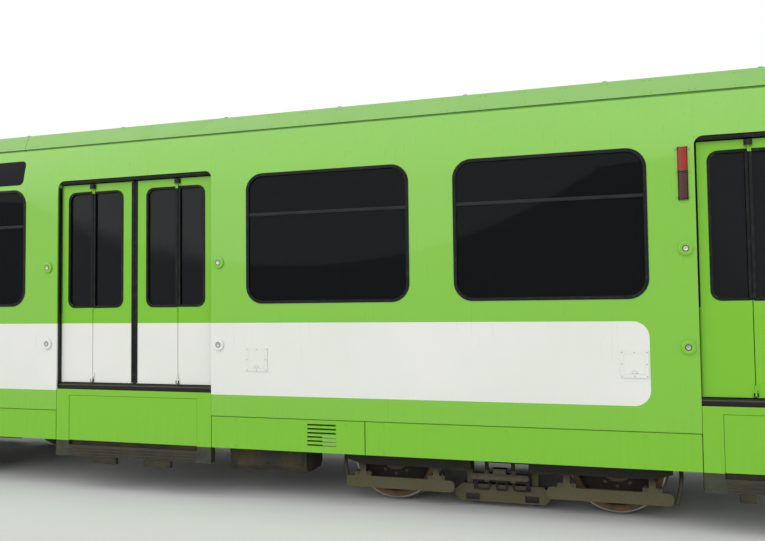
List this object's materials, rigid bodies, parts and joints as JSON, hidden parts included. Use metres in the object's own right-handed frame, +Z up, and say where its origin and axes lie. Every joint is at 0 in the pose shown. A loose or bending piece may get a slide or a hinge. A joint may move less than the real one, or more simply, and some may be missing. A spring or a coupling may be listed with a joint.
{
  "type": "articulated light rail car",
  "caption": "Articulated light rail car: two end sections with cabs and a short middle section on bogies, with folding doors, hollow saloon, couplers and pantograph.",
  "frame": {"origin": "on the floor under the middle of the car, at its mid-width, the flange tips at z = 0", "axes": "+X along the car towards end b, +Y to the left of that way, +Z up"},
  "size_m": [28.28, 2.4286, 3.9192],
  "materials": {
    "bellows": "black coated fabric",
    "bogie_grey": "dusty dark grey paint",
    "body_green": "gloss green paint",
    "coupler": "black paint",
    "door_green": "gloss green paint with tinted panes",
    "fittings": "mixed small fittings",
    "glass_tint": "grey tinted glass",
    "interior": "warm grey mouldings",
    "panto": "red oxide paint",
    "roof_grey": "light grey paint",
    "gear_grey": "grey paint",
    "seats": "dark seat cloth on foam",
    "frame_dark": "dark grey paint",
    "wheel_steel": "rusty brown steel with bright treads",
    "rubber_black": "black rubber"
  },
  "bodies": {
    "section_c": {"doors_c": "door_green", "fittings_c": "fittings", "glass_c": "glass_tint", "interior_c": "interior", "roof_c": "roof_grey", "roof_gear_c": "gear_grey", "seats_c": "seats", "side_walls_c": "body_green", "skirts_c": "body_green", "underframe_c": "frame_dark", "window_seals_c": "rubber_black", "bellows_ac": "bellows", "bellows_cb": "bellows"},
    "section_a": {"cab_front_a": "body_green", "doors_a": "door_green", "fittings_a": "fittings", "glass_a": "glass_tint", "interior_a": "interior", "roof_a": "roof_grey", "roof_gear_a": "gear_grey", "seats_a": "seats", "side_walls_a": "body_green", "skirts_a": "body_green", "underframe_a": "frame_dark", "window_seals_a": "rubber_black"},
    "section_b": {"cab_front_b": "body_green", "doors_b": "door_green", "fittings_b": "fittings", "glass_b": "glass_tint", "interior_b": "interior", "roof_b": "roof_grey", "roof_gear_b": "gear_grey", "seats_b": "seats", "side_walls_b": "body_green", "skirts_b": "body_green", "underframe_b": "frame_dark", "window_seals_b": "rubber_black"},
    "bogie_1": {"bogie_1": "bogie_grey"},
    "bogie_2": {"bogie_2": "bogie_grey"},
    "bogie_3": {"bogie_3": "bogie_grey"},
    "bogie_4": {"bogie_4": "bogie_grey"},
    "wheelset_1": {"wheelset_1": "wheel_steel"},
    "wheelset_2": {"wheelset_2": "wheel_steel"},
    "wheelset_3": {"wheelset_3": "wheel_steel"},
    "wheelset_4": {"wheelset_4": "wheel_steel"},
    "wheelset_5": {"wheelset_5": "wheel_steel"},
    "wheelset_6": {"wheelset_6": "wheel_steel"},
    "wheelset_7": {"wheelset_7": "wheel_steel"},
    "wheelset_8": {"wheelset_8": "wheel_steel"},
    "coupler_a": {"coupler_a": "coupler"},
    "coupler_b": {"coupler_b": "coupler"},
    "panto_lower": {"panto_lower": "panto"},
    "panto_upper": {"panto_upper": "panto"},
    "panto_head": {"panto_head": "panto"},
    "door_double_left_inner": {"door_double_left_inner": "door_green"},
    "door_double_left_outer": {"door_double_left_outer": "door_green"},
    "door_double_right_inner": {"door_double_right_inner": "door_green"},
    "door_double_right_outer": {"door_double_right_outer": "door_green"},
    "door_single_inner": {"door_single_inner": "door_green"},
    "door_single_outer": {"door_single_outer": "door_green"}
  },
  "joints": [
    {"name": "articulation_a", "type": "hinge", "parent": "section_c", "child": "section_a", "pos_m": [-3.25, 0, 0.7], "axis": [0, 0, 1], "range_deg": [-18, 18], "deforming": ["bellows_ac"]},
    {"name": "articulation_b", "type": "hinge", "parent": "section_c", "child": "section_b", "pos_m": [3.25, 0, 0.7], "axis": [0, 0, 1], "range_deg": [-18, 18], "deforming": ["bellows_cb"]},
    {"name": "bogie_1_pivot", "type": "hinge", "parent": "section_a", "child": "bogie_1", "pos_m": [-9.8, 0, 0.668], "axis": [0, 0, 1], "range_deg": [-11, 11]},
    {"name": "bogie_2_pivot", "type": "hinge", "parent": "section_c", "child": "bogie_2", "pos_m": [-3.25, 0, 0.668], "axis": [0, 0, 1], "range_deg": [-9, 9]},
    {"name": "bogie_3_pivot", "type": "hinge", "parent": "section_c", "child": "bogie_3", "pos_m": [3.25, 0, 0.668], "axis": [0, 0, 1], "range_deg": [-9, 9]},
    {"name": "bogie_4_pivot", "type": "hinge", "parent": "section_b", "child": "bogie_4", "pos_m": [9.8, 0, 0.668], "axis": [0, 0, 1], "range_deg": [-11, 11]},
    {"name": "wheelset_1_spin", "type": "hinge", "parent": "bogie_1", "child": "wheelset_1", "pos_m": [-10.7, 0, 0.393], "axis": [0, 1, 0], "continuous": true},
    {"name": "wheelset_2_spin", "type": "hinge", "parent": "bogie_1", "child": "wheelset_2", "pos_m": [-8.9, 0, 0.393], "axis": [0, 1, 0], "continuous": true},
    {"name": "wheelset_3_spin", "type": "hinge", "parent": "bogie_2", "child": "wheelset_3", "pos_m": [-4.15, 0, 0.393], "axis": [0, 1, 0], "continuous": true},
    {"name": "wheelset_4_spin", "type": "hinge", "parent": "bogie_2", "child": "wheelset_4", "pos_m": [-2.35, 0, 0.393], "axis": [0, 1, 0], "continuous": true},
    {"name": "wheelset_5_spin", "type": "hinge", "parent": "bogie_3", "child": "wheelset_5", "pos_m": [2.35, 0, 0.393], "axis": [0, 1, 0], "continuous": true},
    {"name": "wheelset_6_spin", "type": "hinge", "parent": "bogie_3", "child": "wheelset_6", "pos_m": [4.15, 0, 0.393], "axis": [0, 1, 0], "continuous": true},
    {"name": "wheelset_7_spin", "type": "hinge", "parent": "bogie_4", "child": "wheelset_7", "pos_m": [8.9, 0, 0.393], "axis": [0, 1, 0], "continuous": true},
    {"name": "wheelset_8_spin", "type": "hinge", "parent": "bogie_4", "child": "wheelset_8", "pos_m": [10.7, 0, 0.393], "axis": [0, 1, 0], "continuous": true},
    {"name": "coupler_a_swing", "type": "hinge", "parent": "section_a", "child": "coupler_a", "pos_m": [-12.9, 0, 0.548], "axis": [0, 0, 1], "range_deg": [-15, 15]},
    {"name": "coupler_b_swing", "type": "hinge", "parent": "section_b", "child": "coupler_b", "pos_m": [12.9, 0, 0.548], "axis": [0, 0, 1], "range_deg": [-15, 15]},
    {"name": "panto_lower_lift", "type": "hinge", "parent": "section_a", "child": "panto_lower", "pos_m": [-10.54715, 0, 3.563], "axis": [0, 1, 0], "range_deg": [-45, 0]},
    {"name": "panto_knee", "type": "hinge", "parent": "panto_lower", "child": "panto_upper", "pos_m": [-9.05285, 0, 3.69373], "axis": [0, 1, 0], "range_deg": [0, 90]},
    {"name": "panto_head_level", "type": "hinge", "parent": "panto_upper", "child": "panto_head", "pos_m": [-10.54715, 0, 3.82447], "axis": [0, 1, 0], "range_deg": [-45, 0]},
    {"name": "double_left_outer_swing", "type": "hinge", "parent": "section_b", "child": "door_double_left_outer", "pos_m": [5.7735, -1.1325, 1], "axis": [0, 0, 1], "range_deg": [0, 80]},
    {"name": "double_left_inner_fold", "type": "hinge", "parent": "door_double_left_outer", "child": "door_double_left_inner", "pos_m": [6.11, -1.158, 1], "axis": [0, 0, 1], "range_deg": [-160, 0]},
    {"name": "double_right_outer_swing", "type": "hinge", "parent": "section_b", "child": "door_double_right_outer", "pos_m": [7.3435, -1.1325, 1], "axis": [0, 0, 1], "range_deg": [-80, 0]},
    {"name": "double_right_inner_fold", "type": "hinge", "parent": "door_double_right_outer", "child": "door_double_right_inner", "pos_m": [7.007, -1.158, 1], "axis": [0, 0, 1], "range_deg": [0, 160]},
    {"name": "single_outer_swing", "type": "hinge", "parent": "section_b", "child": "door_single_outer", "pos_m": [11.3075, -1.1325, 1], "axis": [0, 0, 1], "range_deg": [0, 80]},
    {"name": "single_inner_fold", "type": "hinge", "parent": "door_single_outer", "child": "door_single_inner", "pos_m": [11.644, -1.158, 1], "axis": [0, 0, 1], "range_deg": [-160, 0]}
  ],
  "couplings": [
    {"joint": "bogie_2_pivot", "follows": "articulation_a", "ratio": 0.5},
    {"joint": "bogie_3_pivot", "follows": "articulation_b", "ratio": 0.5},
    {"joint": "panto_knee", "follows": "panto_lower_lift", "ratio": -2},
    {"joint": "panto_head_level", "follows": "panto_lower_lift", "ratio": 1},
    {"joint": "double_left_inner_fold", "follows": "double_left_outer_swing", "ratio": -2},
    {"joint": "double_right_outer_swing", "follows": "double_left_outer_swing", "ratio": -1},
    {"joint": "double_right_inner_fold", "follows": "double_left_outer_swing", "ratio": 2},
    {"joint": "single_inner_fold", "follows": "single_outer_swing", "ratio": -2}
  ]
}
